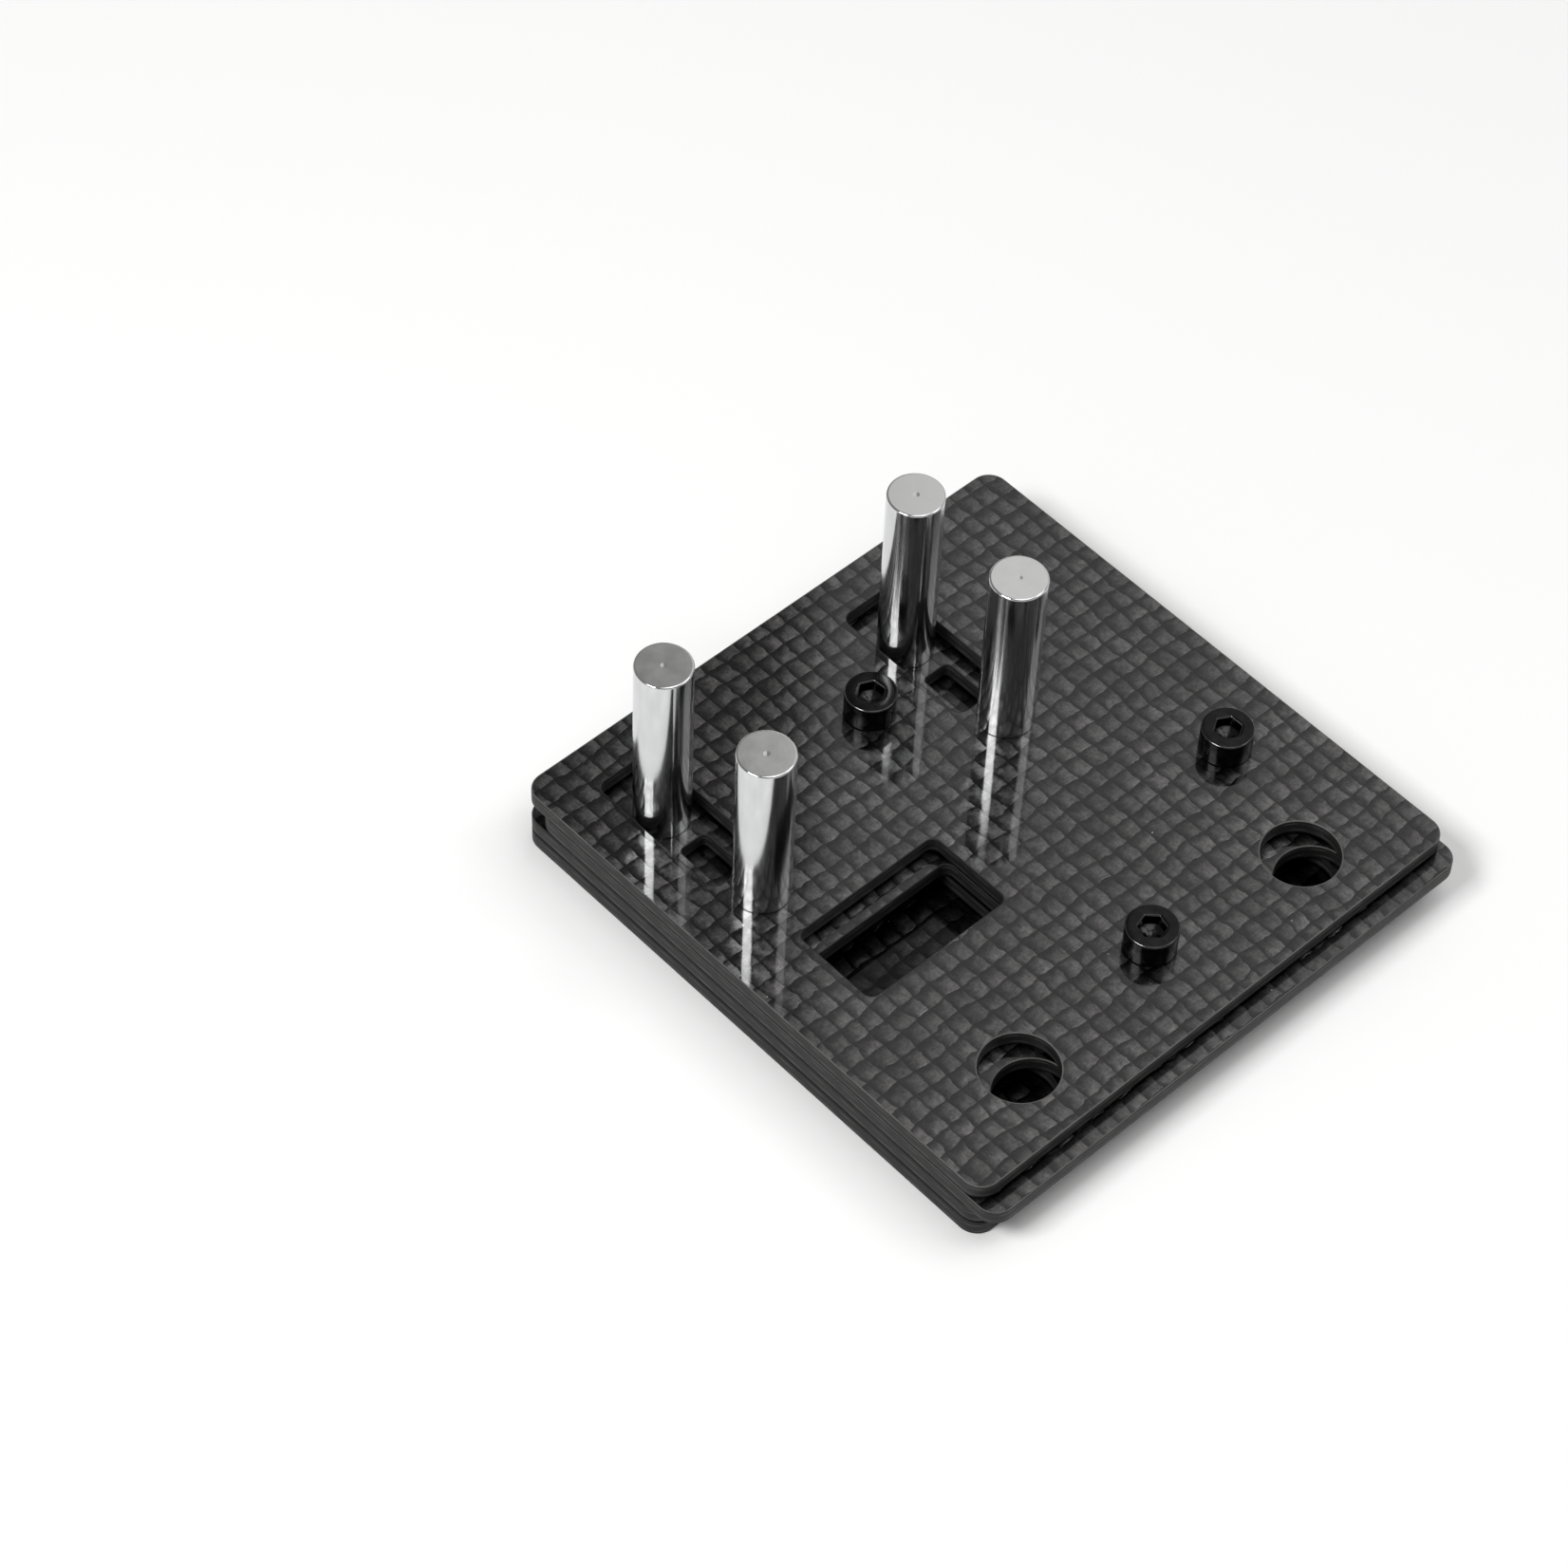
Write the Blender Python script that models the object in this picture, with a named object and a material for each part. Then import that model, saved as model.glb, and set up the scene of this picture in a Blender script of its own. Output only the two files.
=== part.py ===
"""Carbon-fibre soldering stand with a sliding clamp plate and four steel posts.

A stack of four square plates: the base, the guide plate, the sliding clamp plate and the top
plate.  Two posts stand fixed on the top plate and two ride on the sliding plate, so the
posts, the square window and the two round holes all close together when the plate slides.
Three socket screws with captive nuts pinch the stack and lock the slide.

Frame: metres, +Z up, origin at the centre of the base plate's underside.  +X is the way the
sliding plate moves to close, and Y runs along the rows between the posts.
"""
import math

import bpy
import bmesh
from mathutils import Matrix, Vector
from mathutils.geometry import delaunay_2d_cdt

MM = 0.001

# Plate stack
PLATE_SIDE = 66.0 * MM
PLATE_DEPTH = 65.6 * MM
PLATE_CORNER_R = 2.2 * MM
PLATE_THICK = 1.75 * MM
PLATE_GAP = 0.30 * MM
EDGE_BREAK = 0.12 * MM

BASE_Z = 0.0
GUIDE_Z = BASE_Z + PLATE_THICK + PLATE_GAP
SLIDE_Z = GUIDE_Z + PLATE_THICK + PLATE_GAP
TOP_Z = SLIDE_Z + PLATE_THICK + PLATE_GAP
DECK_Z = TOP_Z + PLATE_THICK

# Sliding plate: how far it stands out at rest, and its whole travel from flush
SLIDE_REST = 2.1 * MM
SLIDE_TRAVEL = 9.0 * MM

# Posts
POST_R = 3.0 * MM
POST_TOP_Z = DECK_Z + 21.3 * MM
POST_BREAK = 0.20 * MM
FOOT_GAP = 0.15 * MM
FIXED_POST_X = -7.4 * MM
RIDING_POST_X = -22.1 * MM
FRONT_ROW_Y = -23.7 * MM
BACK_ROW_Y = 10.05 * MM
DIMPLE_R = 0.55 * MM
DIMPLE_DEEP = 0.30 * MM
TAP_DEEP = 7.0 * MM

# Slots that the riding posts travel in
POST_SLOT_X0 = -28.0 * MM
POST_SLOT_X1 = -10.6 * MM
POST_SLOT_WIDE = 7.0 * MM
POST_SLOT_CORNER = 1.2 * MM

# Narrow openings in the sliding plate, between the posts of each row
RELIEF_X0 = -17.6 * MM
RELIEF_X1 = -11.6 * MM
RELIEF_WIDE = 3.4 * MM
RELIEF_CORNER = 0.6 * MM

# Window for a plug, and the round holes for pin connectors
WINDOW_X0 = -1.0 * MM
WINDOW_X1 = 9.5 * MM
WINDOW_Y0 = -24.8 * MM
WINDOW_Y1 = -6.3 * MM
WINDOW_CORNER = 1.0 * MM
PIN_HOLE_R = 4.1 * MM
PIN_HOLES = ((24.9 * MM, 19.7 * MM), (24.9 * MM, -19.7 * MM))

# M3 socket-head clamp screws and their nuts
CLAMP_SCREWS = ((-17.0 * MM, 0.1 * MM), (10.3 * MM, 23.9 * MM), (22.9 * MM, 0.2 * MM))
THREAD_R = 1.5 * MM
THREAD_GAP = 0.20 * MM
CLEAR_R = 1.8 * MM
HEAD_R = 2.75 * MM
HEAD_TALL = 3.0 * MM
HEAD_BREAK = 0.30 * MM
HEAD_KEY = 2.5 * MM
HEAD_KEY_DEEP = 1.6 * MM
SEAT_GAP = 0.15 * MM
SCREW_TIP_Z = 0.30 * MM
NUT_FLATS = 5.5 * MM
NUT_TALL = 1.6 * MM
NUT_GAP = 0.25 * MM

# M3 countersunk screws under the posts
SINK_R = 2.75 * MM
SINK_DEEP = 1.25 * MM
SINK_INSET = 0.10 * MM
SINK_GAP = 0.22 * MM
SINK_KEY = 2.0 * MM
SINK_KEY_DEEP = 0.9 * MM

ROUND = 32
SMALL_ROUND = 20
CORNER_STEPS = 5


def clear_scene():
    for obj in list(bpy.data.objects):
        bpy.data.objects.remove(obj, do_unlink=True)


def make_material(name, colour, metallic, roughness, coat=0.0):
    mat = bpy.data.materials.new(name)
    mat.use_nodes = True
    shader = mat.node_tree.nodes["Principled BSDF"]
    shader.inputs["Base Color"].default_value = (*colour, 1.0)
    shader.inputs["Metallic"].default_value = metallic
    shader.inputs["Roughness"].default_value = roughness
    shader.inputs["Coat Weight"].default_value = coat
    return mat


def carbon(name):
    return make_material(name, (0.022, 0.023, 0.024), 0.0, 0.35, coat=1.0)


def polished_steel(name):
    return make_material(name, (0.66, 0.67, 0.69), 1.0, 0.16)


def black_steel(name):
    return make_material(name, (0.018, 0.018, 0.019), 0.6, 0.32)


def zinc_steel(name):
    return make_material(name, (0.55, 0.56, 0.58), 1.0, 0.30)


def finish(name, bm, mat, origin=(0.0, 0.0, 0.0)):
    """Write the bmesh into a named object whose origin is the given point."""
    bmesh.ops.recalc_face_normals(bm, faces=bm.faces)
    bmesh.ops.translate(bm, verts=bm.verts, vec=-Vector(origin))
    mesh = bpy.data.meshes.new(name)
    bm.to_mesh(mesh)
    bm.free()
    mesh.shade_smooth()
    mesh.set_sharp_from_angle(angle=math.radians(30.0))
    mesh.materials.append(mat)
    obj = bpy.data.objects.new(name, mesh)
    obj.location = origin
    bpy.context.scene.collection.objects.link(obj)
    return obj


# Outlines: each returns its points for a given growth, so one rule serves edge and chamfer

def circle_loop(centre, radius, steps, grow=0.0):
    points = []
    for i in range(steps):
        a = math.tau * i / steps
        reach = radius + grow
        points.append((centre[0] + reach * math.cos(a), centre[1] + reach * math.sin(a)))
    return points


def rounded_box_loop(x0, x1, y0, y1, radius, steps, grow=0.0):
    """Rectangle with arc corners, anticlockwise from the right-hand lower corner."""
    reach = radius + grow
    corners = (
        (x1 - radius, y0 + radius, -90.0),
        (x1 - radius, y1 - radius, 0.0),
        (x0 + radius, y1 - radius, 90.0),
        (x0 + radius, y0 + radius, 180.0),
    )
    points = []
    for cx, cy, start in corners:
        for i in range(steps + 1):
            a = math.radians(start + 90.0 * i / steps)
            points.append((cx + reach * math.cos(a), cy + reach * math.sin(a)))
    return points


def slot_loop(x0, x1, y, half_wide, steps, grow=0.0):
    """Slot along X with round ends."""
    reach = half_wide + grow
    points = []
    for cx, start in ((x1 - half_wide, -90.0), (x0 + half_wide, 90.0)):
        for i in range(steps + 1):
            a = math.radians(start + 180.0 * i / steps)
            points.append((cx + reach * math.cos(a), y + reach * math.sin(a)))
    return points


def hexagon_loop(centre, flats, grow=0.0):
    return circle_loop(centre, (flats * 0.5 + grow) / math.cos(math.pi / 6.0), 6)


def straight_cut(loop, z0, z1):
    return [(z0, loop(0.0)), (z1, loop(0.0))]


def broken_cut(loop, z0, z1, sign=1.0):
    """A wall whose two rims are chamfered by EDGE_BREAK: sign is -1 on an outer edge."""
    e = EDGE_BREAK
    return [(z0, loop(sign * e)), (z0 + e, loop(0.0)), (z1 - e, loop(0.0)), (z1, loop(sign * e))]


def countersunk_cut(loop, z0, z1):
    flare = SINK_R - THREAD_R
    return [(z0, loop(flare)), (z0 + SINK_DEEP, loop(0.0)), (z1, loop(0.0))]


def add_wall(bm, levels):
    """Bridge a stack of equal loops and return its lowest and highest rings."""
    rings = []
    for z, points in levels:
        rings.append([bm.verts.new((x, y, z)) for x, y in points])
    for low, high in zip(rings, rings[1:]):
        count = len(low)
        for i in range(count):
            j = (i + 1) % count
            bm.faces.new((low[i], low[j], high[j], high[i]))
    return rings[0], rings[-1]


def add_cap(bm, rings):
    """Fill the first ring flat around the others, which are convex holes."""
    verts = [v for ring in rings for v in ring]
    owner = [k for k, ring in enumerate(rings) for v in ring]
    edges = []
    start = 0
    for ring in rings:
        count = len(ring)
        edges += [(start + i, start + (i + 1) % count) for i in range(count)]
        start += count
    flat = [Vector((v.co.x, v.co.y)) for v in verts]
    result = delaunay_2d_cdt(flat, edges, [], 0, 1e-9)
    source = [ids[0] for ids in result[3]]
    for face in result[2]:
        ids = [source[i] for i in face]
        owners = {owner[i] for i in ids}
        in_hole = len(owners) == 1 and owners != {0}
        if not in_hole:
            bm.faces.new([verts[i] for i in ids])


def make_plate(name, outer, cuts, mat):
    bm = bmesh.new()
    walls = [add_wall(bm, outer)]
    walls += [add_wall(bm, cut) for cut in cuts]
    add_cap(bm, [low for low, high in walls])
    add_cap(bm, [high for low, high in walls])
    return finish(name, bm, mat)


def make_turned(name, centre, profile, steps, mat):
    """Turn a profile of (radius, z) about the vertical axis through the centre."""
    bm = bmesh.new()
    rings = []
    for radius, z in profile:
        if radius == 0.0:
            rings.append([bm.verts.new((centre[0], centre[1], z))])
        else:
            loop = circle_loop(centre, radius, steps)
            rings.append([bm.verts.new((x, y, z)) for x, y in loop])
    for low, high in zip(rings, rings[1:]):
        for i in range(steps):
            j = (i + 1) % steps
            if len(low) == 1:
                bm.faces.new((low[0], high[j], high[i]))
            elif len(high) == 1:
                bm.faces.new((low[i], low[j], high[0]))
            else:
                bm.faces.new((low[i], low[j], high[j], high[i]))
    return finish(name, bm, mat, origin=(centre[0], centre[1], profile[0][1]))


def cut_key(obj, centre, flats, z0, z1):
    """Cut a hexagonal key socket between two heights."""
    bm = bmesh.new()
    radius = flats * 0.5 / math.cos(math.pi / 6.0)
    place = Matrix.Translation((centre[0], centre[1], (z0 + z1) * 0.5))
    bmesh.ops.create_cone(bm, cap_ends=True, segments=6, radius1=radius, radius2=radius,
                          depth=z1 - z0, matrix=place)
    mesh = bpy.data.meshes.new(obj.name + "_key")
    bm.to_mesh(mesh)
    bm.free()
    cutter = bpy.data.objects.new(obj.name + "_key", mesh)
    cutter.hide_render = True
    cutter.display_type = "WIRE"
    bpy.context.scene.collection.objects.link(cutter)
    cut = obj.modifiers.new("key_socket", "BOOLEAN")
    cut.operation = "DIFFERENCE"
    cut.solver = "EXACT"
    cut.object = cutter


# Loops shared by the plates.  shift moves the sliding plate's own cuts with it.

def plate_outline(shift=0.0):
    half = PLATE_SIDE * 0.5
    deep = PLATE_DEPTH * 0.5
    return lambda g: rounded_box_loop(shift - half, shift + half, -deep, deep,
                                      PLATE_CORNER_R, CORNER_STEPS, g)


def window_outline(shift=0.0):
    return lambda g: rounded_box_loop(WINDOW_X0 + shift, WINDOW_X1 + shift, WINDOW_Y0,
                                      WINDOW_Y1, WINDOW_CORNER, 4, g)


def hole_outline(x, y, radius, steps=SMALL_ROUND):
    return lambda g: circle_loop((x, y), radius, steps, g)


def post_slot_outline(y):
    half = POST_SLOT_WIDE * 0.5
    return lambda g: rounded_box_loop(POST_SLOT_X0, POST_SLOT_X1, y - half, y + half,
                                      POST_SLOT_CORNER, 4, g)


def relief_outline(y):
    half = RELIEF_WIDE * 0.5
    return lambda g: rounded_box_loop(RELIEF_X0, RELIEF_X1, y - half, y + half,
                                      RELIEF_CORNER, 4, g)


def run_slot_outline(x, y, radius):
    """Slot in the sliding plate that clears a fixed round part over the whole travel."""
    left = x - (SLIDE_TRAVEL - SLIDE_REST) - radius
    right = x + SLIDE_REST + radius
    return lambda g: slot_loop(left, right, y, radius, 10, g)


def make_top_plate():
    z0, z1 = TOP_Z, DECK_Z
    cuts = [broken_cut(window_outline(), z0, z1)]
    cuts += [broken_cut(hole_outline(x, y, PIN_HOLE_R, ROUND), z0, z1) for x, y in PIN_HOLES]
    cuts += [straight_cut(hole_outline(x, y, CLEAR_R), z0, z1) for x, y in CLAMP_SCREWS]
    for y in (FRONT_ROW_Y, BACK_ROW_Y):
        cuts.append(broken_cut(post_slot_outline(y), z0, z1))
        screw = hole_outline(FIXED_POST_X, y, THREAD_R + SINK_GAP)
        cuts.append(countersunk_cut(screw, z0, z1))
    outer = broken_cut(plate_outline(), z0, z1, -1.0)
    return make_plate("top_plate", outer, cuts, carbon("carbon_top"))


def make_clamp_plate():
    z0, z1 = SLIDE_Z, SLIDE_Z + PLATE_THICK
    cuts = [broken_cut(window_outline(SLIDE_REST), z0, z1)]
    for x, y in PIN_HOLES:
        loop = hole_outline(x + SLIDE_REST, y, PIN_HOLE_R, ROUND)
        cuts.append(broken_cut(loop, z0, z1))
    for x, y in CLAMP_SCREWS:
        cuts.append(straight_cut(run_slot_outline(x, y, CLEAR_R), z0, z1))
    for y in (FRONT_ROW_Y, BACK_ROW_Y):
        cuts.append(broken_cut(relief_outline(y), z0, z1))
        screw = hole_outline(RIDING_POST_X, y, THREAD_R + SINK_GAP)
        cuts.append(countersunk_cut(screw, z0, z1))
    outer = broken_cut(plate_outline(SLIDE_REST), z0, z1, -1.0)
    return make_plate("clamp_plate", outer, cuts, carbon("carbon_clamp"))


def make_guide_plate():
    z0, z1 = GUIDE_Z, GUIDE_Z + PLATE_THICK
    cuts = [straight_cut(window_outline(), z0, z1)]
    cuts += [straight_cut(hole_outline(x, y, PIN_HOLE_R, ROUND), z0, z1) for x, y in PIN_HOLES]
    cuts += [straight_cut(hole_outline(x, y, CLEAR_R), z0, z1) for x, y in CLAMP_SCREWS]
    outer = broken_cut(plate_outline(), z0, z1, -1.0)
    return make_plate("guide_plate", outer, cuts, carbon("carbon_guide"))


def make_base_plate():
    z0, z1 = BASE_Z, BASE_Z + PLATE_THICK
    cuts = []
    for centre in CLAMP_SCREWS:
        pocket = hexagon_loop(centre, NUT_FLATS, NUT_GAP)
        cuts.append([(z0, pocket), (z1, pocket)])
    outer = broken_cut(plate_outline(), z0, z1, -1.0)
    return make_plate("base_plate", outer, cuts, carbon("carbon_base"))


def make_post(name, x, y, foot_z, mat):
    """Steel dowel with a tapped foot and a small centre dimple on its top."""
    e = POST_BREAK
    tap_r = THREAD_R + THREAD_GAP
    profile = (
        (0.0, foot_z + TAP_DEEP),
        (tap_r, foot_z + TAP_DEEP),
        (tap_r, foot_z),
        (POST_R - e, foot_z),
        (POST_R, foot_z + e),
        (POST_R, POST_TOP_Z - e),
        (POST_R - e, POST_TOP_Z),
        (DIMPLE_R, POST_TOP_Z),
        (0.0, POST_TOP_Z - DIMPLE_DEEP),
    )
    return make_turned(name, (x, y), profile, ROUND, mat)


def make_clamp_screw(name, centre, mat):
    """M3 socket-head cap screw, its head on the top plate and its tip inside the nut."""
    seat = DECK_Z + SEAT_GAP
    crown = seat + HEAD_TALL
    profile = (
        (0.0, SCREW_TIP_Z),
        (THREAD_R - HEAD_BREAK, SCREW_TIP_Z),
        (THREAD_R, SCREW_TIP_Z + HEAD_BREAK),
        (THREAD_R, seat),
        (HEAD_R, seat),
        (HEAD_R, crown - HEAD_BREAK),
        (HEAD_R - HEAD_BREAK, crown),
        (0.0, crown),
    )
    screw = make_turned(name, centre, profile, ROUND, mat)
    cut_key(screw, centre, HEAD_KEY, crown - HEAD_KEY_DEEP, crown + HEAD_TALL)
    return screw


def make_sink_screw(name, centre, plate_z, foot_z, mat):
    """M3 countersunk screw from a plate's underside up into a post's tapped foot."""
    low = plate_z + SINK_INSET
    neck = low + SINK_DEEP
    tip = foot_z + TAP_DEEP - 3.0 * HEAD_BREAK
    profile = (
        (0.0, low),
        (SINK_R, low),
        (THREAD_R, neck),
        (THREAD_R, tip - HEAD_BREAK),
        (THREAD_R - HEAD_BREAK, tip),
        (0.0, tip),
    )
    screw = make_turned(name, centre, profile, SMALL_ROUND, mat)
    cut_key(screw, centre, SINK_KEY, low - SINK_DEEP, low + SINK_KEY_DEEP)
    return screw


def make_nut(name, centre, mat):
    """Thin hexagon nut held in the base plate's pocket, just under the guide plate."""
    z1 = BASE_Z + PLATE_THICK
    z0 = z1 - NUT_TALL
    bm = bmesh.new()
    flats = hexagon_loop(centre, NUT_FLATS)
    bore = circle_loop(centre, THREAD_R + THREAD_GAP, SMALL_ROUND)
    walls = [add_wall(bm, [(z0, flats), (z1, flats)]), add_wall(bm, [(z0, bore), (z1, bore)])]
    add_cap(bm, [low for low, high in walls])
    add_cap(bm, [high for low, high in walls])
    return finish(name, bm, mat)


def main():
    clear_scene()
    make_base_plate()
    make_guide_plate()
    make_clamp_plate()
    make_top_plate()

    fixed_foot = DECK_Z + FOOT_GAP
    riding_foot = SLIDE_Z + PLATE_THICK + FOOT_GAP
    for row, y in (("front", FRONT_ROW_Y), ("back", BACK_ROW_Y)):
        steel = polished_steel("steel_fixed_" + row)
        make_post("fixed_post_" + row, FIXED_POST_X, y, fixed_foot, steel)
        steel = polished_steel("steel_riding_" + row)
        make_post("riding_post_" + row, RIDING_POST_X, y, riding_foot, steel)
        black = black_steel("black_fixed_" + row)
        make_sink_screw("fixed_post_screw_" + row, (FIXED_POST_X, y), TOP_Z, fixed_foot, black)
        black = black_steel("black_riding_" + row)
        make_sink_screw("riding_post_screw_" + row, (RIDING_POST_X, y), SLIDE_Z, riding_foot,
                        black)

    for name, centre in zip(("left", "back", "right"), CLAMP_SCREWS):
        make_clamp_screw("clamp_screw_" + name, centre, black_steel("black_clamp_" + name))
        make_nut("clamp_nut_" + name, centre, zinc_steel("zinc_nut_" + name))


main()
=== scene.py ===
"""Looks of the soldering stand: woven carbon plates, polished dowels and black socket screws.

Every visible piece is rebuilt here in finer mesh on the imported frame, rides the same body as
the CAD node it stands for, and keeps to that node's size.  All lengths are in metres.
"""
import math

import bmesh
import bpy
from mathutils import Matrix, Vector
from mathutils.geometry import delaunay_2d_cdt


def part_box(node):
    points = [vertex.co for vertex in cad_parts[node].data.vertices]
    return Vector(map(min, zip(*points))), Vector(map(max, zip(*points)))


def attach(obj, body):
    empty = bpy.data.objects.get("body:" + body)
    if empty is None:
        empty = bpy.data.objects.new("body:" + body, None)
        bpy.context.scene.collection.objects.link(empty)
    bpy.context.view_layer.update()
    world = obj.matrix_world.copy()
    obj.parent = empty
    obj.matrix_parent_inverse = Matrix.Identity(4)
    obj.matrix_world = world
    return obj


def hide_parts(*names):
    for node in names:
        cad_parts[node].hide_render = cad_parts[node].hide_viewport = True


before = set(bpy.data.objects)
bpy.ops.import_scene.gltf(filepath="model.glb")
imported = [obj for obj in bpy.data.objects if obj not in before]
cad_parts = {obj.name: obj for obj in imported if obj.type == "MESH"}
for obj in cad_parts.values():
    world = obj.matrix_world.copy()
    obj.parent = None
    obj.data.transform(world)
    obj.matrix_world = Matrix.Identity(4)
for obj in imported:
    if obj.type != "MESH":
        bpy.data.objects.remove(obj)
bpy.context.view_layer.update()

MM = 0.001

# Plate stack
PLATE_HALF = 33.0 * MM
PLATE_HALF_DEEP = 32.8 * MM
PLATE_CORNER_R = 2.2 * MM
PLATE_THICK = 1.75 * MM
RIM_BREAK = 0.12 * MM
RIM_LAND = 0.03 * MM  # flat strip inside each rounded rim, which keeps the face's shading flat
SLIDE_REST = 2.1 * MM
SLIDE_OUT = 6.9 * MM

# Openings
WINDOW = (-1.0 * MM, 9.5 * MM, -24.8 * MM, -6.3 * MM)
WINDOW_CORNER = 1.0 * MM
PIN_HOLE_R = 4.1 * MM
PIN_HOLES = ((24.9 * MM, 19.7 * MM), (24.9 * MM, -19.7 * MM))
POST_SLOT = (-28.0 * MM, -10.6 * MM)
POST_SLOT_HALF = 3.5 * MM
POST_SLOT_CORNER = 1.2 * MM
RELIEF = (-17.6 * MM, -11.6 * MM)
RELIEF_HALF = 1.7 * MM
RELIEF_CORNER = 0.6 * MM
CLEAR_R = 1.8 * MM
SINK_HOLE_R = 1.72 * MM
SINK_MOUTH_R = 2.97 * MM
SINK_DEEP = 1.25 * MM
NUT_POCKET = 3.0 * MM

# Posts
POST_R = 3.0 * MM
POST_ROUND = 0.20 * MM
POST_FOOT_BREAK = 0.08 * MM
SEAT_GAP = 0.13 * MM  # how far posts and heads reach down past their CAD feet
TAP_DEEP = 7.0 * MM
TAP_CONE = 0.9 * MM
# Radius and depth of the rings across a post's top, in millimetres: flat land, then the mark
POST_TOP_RINGS = ((2.77, 0.0), (0.37, 0.0), (0.34, 0.0), (0.29, 0.006), (0.20, 0.006),
                  (0.12, 0.014))
POST_MARK_DEEP = 0.018 * MM

# M3 fasteners
THREAD_R = 1.5 * MM
THREAD_DEEP = 0.27 * MM
THREAD_PITCH = 0.5 * MM
THREAD_STEPS = (0.06 * MM, 0.25 * MM, 0.44 * MM)  # crest, root and next crest along one pitch
BORE_BREAK = 0.2 * MM
TIP_BREAK = 0.3 * MM
HEAD_R = 2.75 * MM
HEAD_TALL = 3.0 * MM
HEAD_ROUND = 0.22 * MM
HEAD_NECK = 0.12 * MM
HEAD_LAND_R = 1.75 * MM
HEX_KEY = 2.55 * MM
HEX_DEEP = 1.3 * MM
HEX_TURN = {"left": 5.0, "back": 0.0, "right": 45.0}
SINK_KEY = 2.0 * MM
SINK_KEY_DEEP = 0.8 * MM
SINK_LAND = 0.12 * MM
SINK_LAND_R = 1.45 * MM
SOCKET_MOUTH = 0.18 * MM
SOCKET_CONE = (0.36 * MM, 0.70 * MM)
NUT_FLATS = 5.5 * MM
NUT_STEPS = 72
NUT_CONE = 30.0
NUT_THREAD_DEEP = 0.14 * MM

# Carbon weave: pitch of one tow along X and Y, and the shape of a tow's visible tile
TOW_X = 2.18 * MM
TOW_Y = 2.09 * MM
TOW_DIVE = 1.1
TOW_SIDE = 0.55
TOW_RELIEF = 0.065 * MM
PRINT_THROUGH = 0.0018 * MM
COAT_SWELL = 0.003 * MM
# How far the tows wander over many tiles, and how ragged each seam is, in tow pitches
SWAY = 0.75
SWAY_SCALE = 0.13
RAGGED = 0.34
RAGGED_SCALE = 0.8
# Fibre noise along and across the tow
FIBRE_LONG = 1.6
FIBRE_WIDE = 11.0
# Painted shade where one tile is tucked under the next: its reach, and how much sharper at the
# sides
TUCK = 0.66
TUCK_SHADE = 0.12
SIDE_SHARP = 1.7
# Brightness: whole weave, and its spread over fibres, tiles, small blotches and broad ones
FIBRE_TONE = 0.071
FIBRE_SPREAD = (0.60, 1.40)
CELL_SPREAD = (0.74, 1.26)
BLOTCH_SIZE = 0.6 * MM
BLOTCH_SPREAD = (0.60, 1.40)
BROAD_SIZE = 5.0 * MM
BROAD_SPREAD = (0.82, 1.18)
FIBRE_WARM = (1.0, 0.95, 0.94, 1.0)
FIBRE_COOL = (0.97, 0.99, 0.97, 1.0)
MOTE = (0.45, 0.44, 0.43, 1.0)
MOTE_SPACING = 2.6 * MM
MOTE_SIZE = 0.035
MOTE_RARE = 0.80

# Cut edges: height of the two light plies, their width, the tones of edge and ply, and the tone of
# the painted highlight on the rims
PLY_HEIGHTS = (0.42, 1.32)
PLY_WIDTH = 0.075
PLY_PHASES = (0.3, 2.1)
PLY_WANDER = 0.16
EDGE_TONE = 0.015
PLY_TONE = 0.060
RIM_HIGHLIGHT_TONE = 0.07
RIM_FADE = (0.11, 0.04)

# Each plate's weave (phase along X, phase along Y, noise seed), painted shade and coat weight.
# The painted shade darkens the lower plates, which are seen only down the openings, where the stack
# is dark.
PLATE_LOOKS = {
    "top_plate": ((0.30, 0.10, 1.0), 1.0, 1.0),
    "clamp_plate": ((0.75, 0.62, 12.0), 0.9, 1.0),
    "guide_plate": ((0.15, 0.85, 23.0), 0.5, 0.5),
    "base_plate": ((0.55, 0.35, 34.0), 0.3, 0.25),
}

# Black finish: the tone of its painted edge highlight, and that band's start and end below the top,
# in mm
EDGE_GLINT_TONE = 0.09
EDGE_GLINT_START = (0.015, 0.04)
EDGE_GLINT_END = (0.09, 0.15)

# Points round a full turn, and along a quarter or a half turn
FINE = 96
MEDIUM = 48
CORNER_STEPS = 12
SLOT_END_STEPS = 32
COS_30 = math.cos(math.pi / 6.0)
SIXTH = math.pi / 3.0

# Camera at the photograph's angle, in the CAD frame
CAM_PLACE = (0.198890, -0.225131, 0.382174)
CAM_RIGHT = (0.678133, 0.734428, 0.027417)
CAM_UP = (-0.583765, 0.515604, 0.627193)
CAM_LENS = 109.841
CAM_SENSOR = 36.0


# Mesh building

def circle(centre, radius, steps=FINE, start=0.0):
    points = []
    for i in range(steps):
        a = start + math.tau * i / steps
        points.append((centre[0] + radius * math.cos(a), centre[1] + radius * math.sin(a)))
    return points


def rounded_box(x0, x1, y0, y1, radius, grow):
    """Box outline with round corners, grown outwards by an offset."""
    reach = radius + grow
    corners = ((x1, y0, -90.0), (x1, y1, 0.0), (x0, y1, 90.0), (x0, y0, 180.0))
    points = []
    for cx, cy, start in corners:
        mx = cx - radius if cx == x1 else cx + radius
        my = cy - radius if cy == y1 else cy + radius
        for i in range(CORNER_STEPS + 1):
            a = math.radians(start + 90.0 * i / CORNER_STEPS)
            points.append((mx + reach * math.cos(a), my + reach * math.sin(a)))
    return points


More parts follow.
